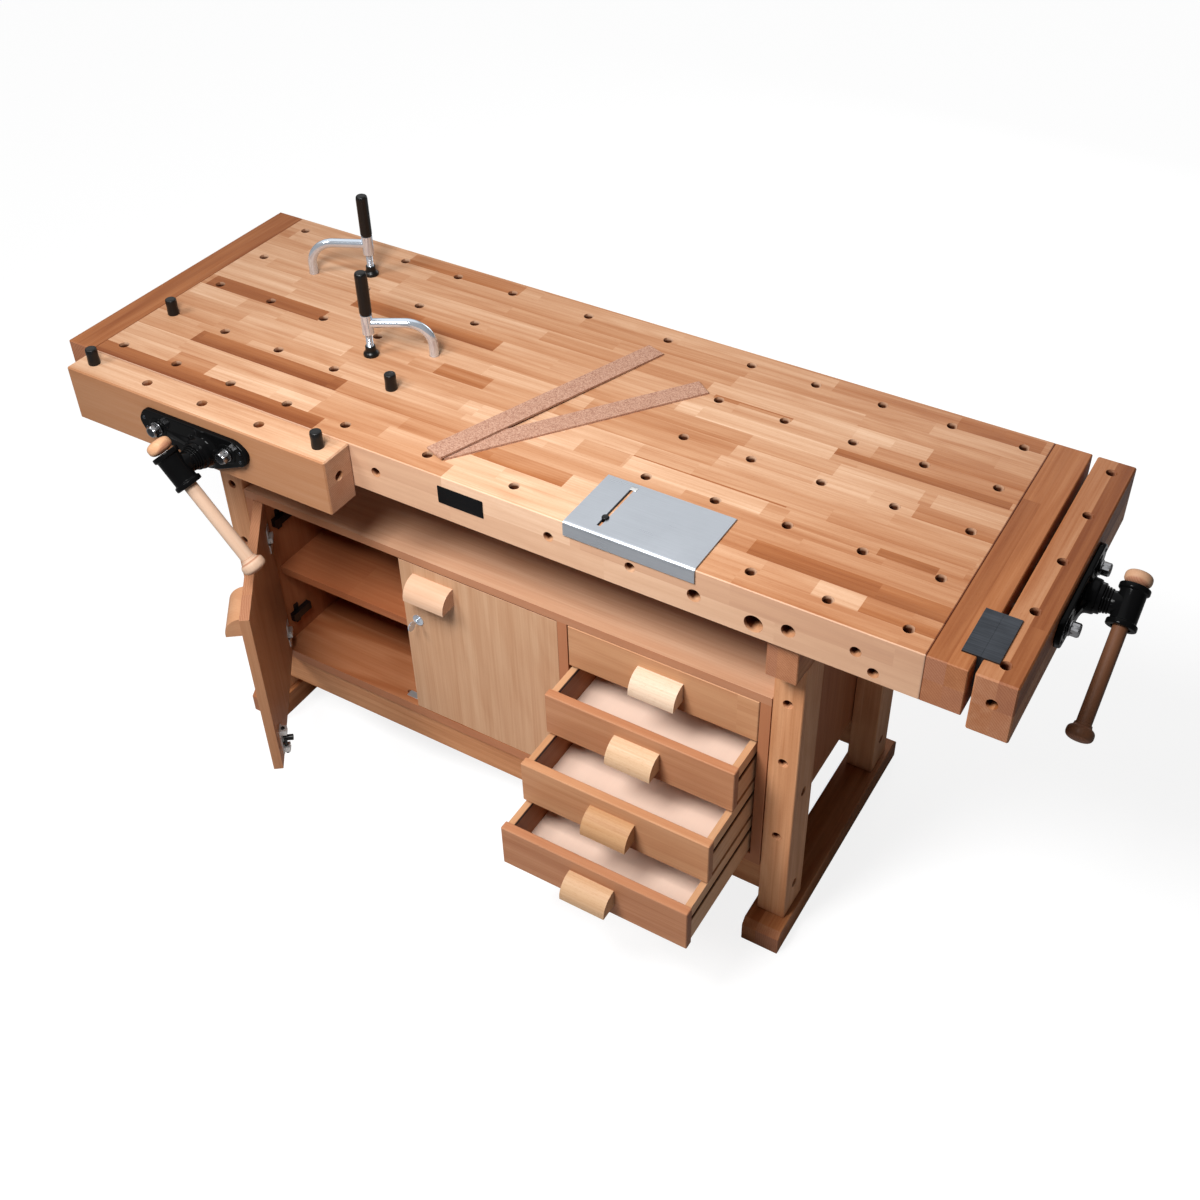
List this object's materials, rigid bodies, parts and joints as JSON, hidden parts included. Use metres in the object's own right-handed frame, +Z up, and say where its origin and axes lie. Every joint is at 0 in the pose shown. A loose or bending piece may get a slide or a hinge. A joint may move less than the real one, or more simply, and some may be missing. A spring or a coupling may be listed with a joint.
{
  "type": "workbench",
  "caption": "Woodworker's bench with a front and an end screw vise, round dog holes, bench dogs, hold-downs, and a cabinet with two hinged doors and a stack of drawers.",
  "frame": {"origin": "centre of the bench's outer box, on the floor", "axes": "+X along the bench towards the end vise, +Y to the back, +Z up; the front vise, doors and drawers face -Y"},
  "size_m": [1.9555, 0.8202, 1.0463],
  "materials": {
    "top_wood": "oiled beech, satin",
    "frame_wood": "oiled beech, satin",
    "case_wood": "oiled beech, satin",
    "front_wood": "oiled beech, satin",
    "drawer_wood": "pale beech and birch ply, satin",
    "handle_wood": "waxed maple",
    "black_iron": "gloss black enamel",
    "black_steel": "black",
    "black_grip": "black, satin",
    "bright_steel": "brushed",
    "dark_steel": "dark, satin",
    "bright_chrome": "polished",
    "pale_cork": "cork, matt"
  },
  "bodies": {
    "bench": {"worktop": "top_wood", "left_end_cap": "top_wood", "right_end_block": "top_wood", "trestle_feet": "frame_wood", "trestle_legs": "frame_wood", "trestle_bearers": "frame_wood", "stretchers": "frame_wood", "frame_bolts": "dark_steel", "case_top": "case_wood", "case_bottom": "case_wood", "case_sides": "case_wood", "case_divider": "case_wood", "case_back": "case_wood", "case_shelf": "case_wood", "drawer_runners": "drawer_wood", "hinge_plates": "bright_steel", "front_vise_bracket": "black_iron", "end_vise_bracket": "black_iron", "fixed_jaw_liner": "dark_steel", "steel_plate": "bright_steel", "plate_clamp": "black_steel", "cork_strips": "pale_cork"},
    "front_vise": {"front_jaw": "top_wood", "front_vise_plate": "black_iron", "front_guide_rods": "bright_steel"},
    "front_screw": {"front_vise_screw": "black_steel"},
    "front_bar": {"front_handle": "handle_wood"},
    "end_vise": {"end_jaw": "top_wood", "end_vise_plate": "black_iron", "end_guide_rods": "bright_steel", "moving_jaw_liner": "dark_steel"},
    "end_screw": {"end_vise_screw": "black_steel"},
    "end_bar": {"end_handle": "handle_wood"},
    "left_leaf": {"left_door": "front_wood", "left_door_pull": "front_wood", "left_door_hardware": "bright_steel"},
    "left_bolt": {"left_door_bolt": "black_steel"},
    "right_leaf": {"right_door": "front_wood", "right_door_pull": "front_wood", "right_door_hardware": "bright_steel", "door_lock": "bright_steel"},
    "key": {"lock_key": "bright_chrome"},
    "drawer_1": {"drawer_front_1": "front_wood", "drawer_box_1": "drawer_wood"},
    "drawer_2": {"drawer_front_2": "front_wood", "drawer_box_2": "drawer_wood"},
    "drawer_3": {"drawer_front_3": "front_wood", "drawer_box_3": "drawer_wood"},
    "drawer_4": {"drawer_front_4": "front_wood", "drawer_box_4": "drawer_wood"},
    "peg_1": {"dog_1": "black_grip"},
    "peg_2": {"dog_2": "black_grip"},
    "peg_3": {"dog_3": "black_grip"},
    "peg_4": {"dog_4": "black_grip"},
    "arm_1": {"hold_down_1_arm": "bright_chrome"},
    "pad_1": {"hold_down_1_foot": "black_grip"},
    "spindle_1": {"hold_down_1_spindle": "black_grip"},
    "arm_2": {"hold_down_2_arm": "bright_chrome"},
    "pad_2": {"hold_down_2_foot": "black_grip"},
    "spindle_2": {"hold_down_2_spindle": "black_grip"}
  },
  "joints": [
    {"name": "front_vise_slide", "type": "slide", "parent": "bench", "child": "front_vise", "axis": [0, -1, 0], "range_m": [0, 0.14]},
    {"name": "front_screw_turn", "type": "hinge", "parent": "front_vise", "child": "front_screw", "pos_m": [-0.58475, -0.333, 0.809], "axis": [0, -1, 0], "range_deg": [0, 10080]},
    {"name": "front_bar_slide", "type": "slide", "parent": "front_screw", "child": "front_bar", "axis": [-0.6508, 0, 0.7593], "range_m": [0, 0.16]},
    {"name": "end_vise_slide", "type": "slide", "parent": "bench", "child": "end_vise", "axis": [1, 0, 0], "range_m": [0, 0.14]},
    {"name": "end_screw_turn", "type": "hinge", "parent": "end_vise", "child": "end_screw", "pos_m": [0.94975, 0.133, 0.809], "axis": [1, 0, 0], "range_deg": [0, 10080]},
    {"name": "end_bar_slide", "type": "slide", "parent": "end_screw", "child": "end_bar", "axis": [0, 0.809, 0.5878], "range_m": [0, 0.16]},
    {"name": "left_door_hinge", "type": "hinge", "parent": "bench", "child": "left_leaf", "pos_m": [-0.637, -0.134, 0.391], "axis": [0, 0, -1], "range_deg": [-52.7, 52.3]},
    {"name": "left_bolt_slide", "type": "slide", "parent": "left_leaf", "child": "left_bolt", "axis": [0, 0, -1], "range_m": [0, 0.012]},
    {"name": "right_door_hinge", "type": "hinge", "parent": "bench", "child": "right_leaf", "pos_m": [0.05975, -0.134, 0.391], "axis": [0, 0, 1], "range_deg": [0, 85]},
    {"name": "key_turn", "type": "hinge", "parent": "right_leaf", "child": "key", "pos_m": [-0.25788, -0.134, 0.444], "axis": [0, -1, 0], "range_deg": [0, 90]},
    {"name": "drawer_1_slide", "type": "slide", "parent": "bench", "child": "drawer_1", "axis": [0, -1, 0], "range_m": [0, 0.33]},
    {"name": "drawer_2_slide", "type": "slide", "parent": "bench", "child": "drawer_2", "axis": [0, -1, 0], "range_m": [-0.082, 0.248]},
    {"name": "drawer_3_slide", "type": "slide", "parent": "bench", "child": "drawer_3", "axis": [0, -1, 0], "range_m": [-0.167, 0.163]},
    {"name": "drawer_4_slide", "type": "slide", "parent": "bench", "child": "drawer_4", "axis": [0, -1, 0], "range_m": [-0.24, 0.09]},
    {"name": "peg_1_lift", "type": "slide", "parent": "bench", "child": "peg_1", "axis": [0, 0, 1], "range_m": [0, 0.055]},
    {"name": "peg_2_lift", "type": "slide", "parent": "bench", "child": "peg_2", "axis": [0, 0, 1], "range_m": [0, 0.055]},
    {"name": "peg_3_lift", "type": "slide", "parent": "front_vise", "child": "peg_3", "axis": [0, 0, 1], "range_m": [0, 0.055]},
    {"name": "peg_4_lift", "type": "slide", "parent": "front_vise", "child": "peg_4", "axis": [0, 0, 1], "range_m": [0, 0.055]},
    {"name": "arm_1_swivel", "type": "hinge", "parent": "bench", "child": "arm_1", "pos_m": [-0.74375, 0.24, 0.873], "axis": [0, 0, 1], "range_deg": [-90, 90]},
    {"name": "pad_1_slide", "type": "slide", "parent": "arm_1", "child": "pad_1", "axis": [0, 0, 1], "range_m": [0, 0.025]},
    {"name": "spindle_1_turn", "type": "hinge", "parent": "pad_1", "child": "spindle_1", "pos_m": [-0.63868, 0.29147, 0.93], "axis": [0, 0, 1], "range_deg": [0, 4500]},
    {"name": "arm_2_swivel", "type": "hinge", "parent": "bench", "child": "arm_2", "pos_m": [-0.35015, 0.11, 0.873], "axis": [0, 0, 1], "range_deg": [-90, 45]},
    {"name": "pad_2_slide", "type": "slide", "parent": "arm_2", "child": "pad_2", "axis": [0, 0, 1], "range_m": [0, 0.025]},
    {"name": "spindle_2_turn", "type": "hinge", "parent": "pad_2", "child": "spindle_2", "pos_m": [-0.45198, 0.05239, 0.93], "axis": [0, 0, 1], "range_deg": [0, 4500]}
  ],
  "couplings": [
    {"joint": "front_vise_slide", "follows": "front_screw_turn", "m_per_rad": 0.00079577},
    {"joint": "end_vise_slide", "follows": "end_screw_turn", "m_per_rad": 0.00079577},
    {"joint": "pad_1_slide", "follows": "spindle_1_turn", "m_per_rad": 0.00031831},
    {"joint": "pad_2_slide", "follows": "spindle_2_turn", "m_per_rad": 0.00031831}
  ]
}
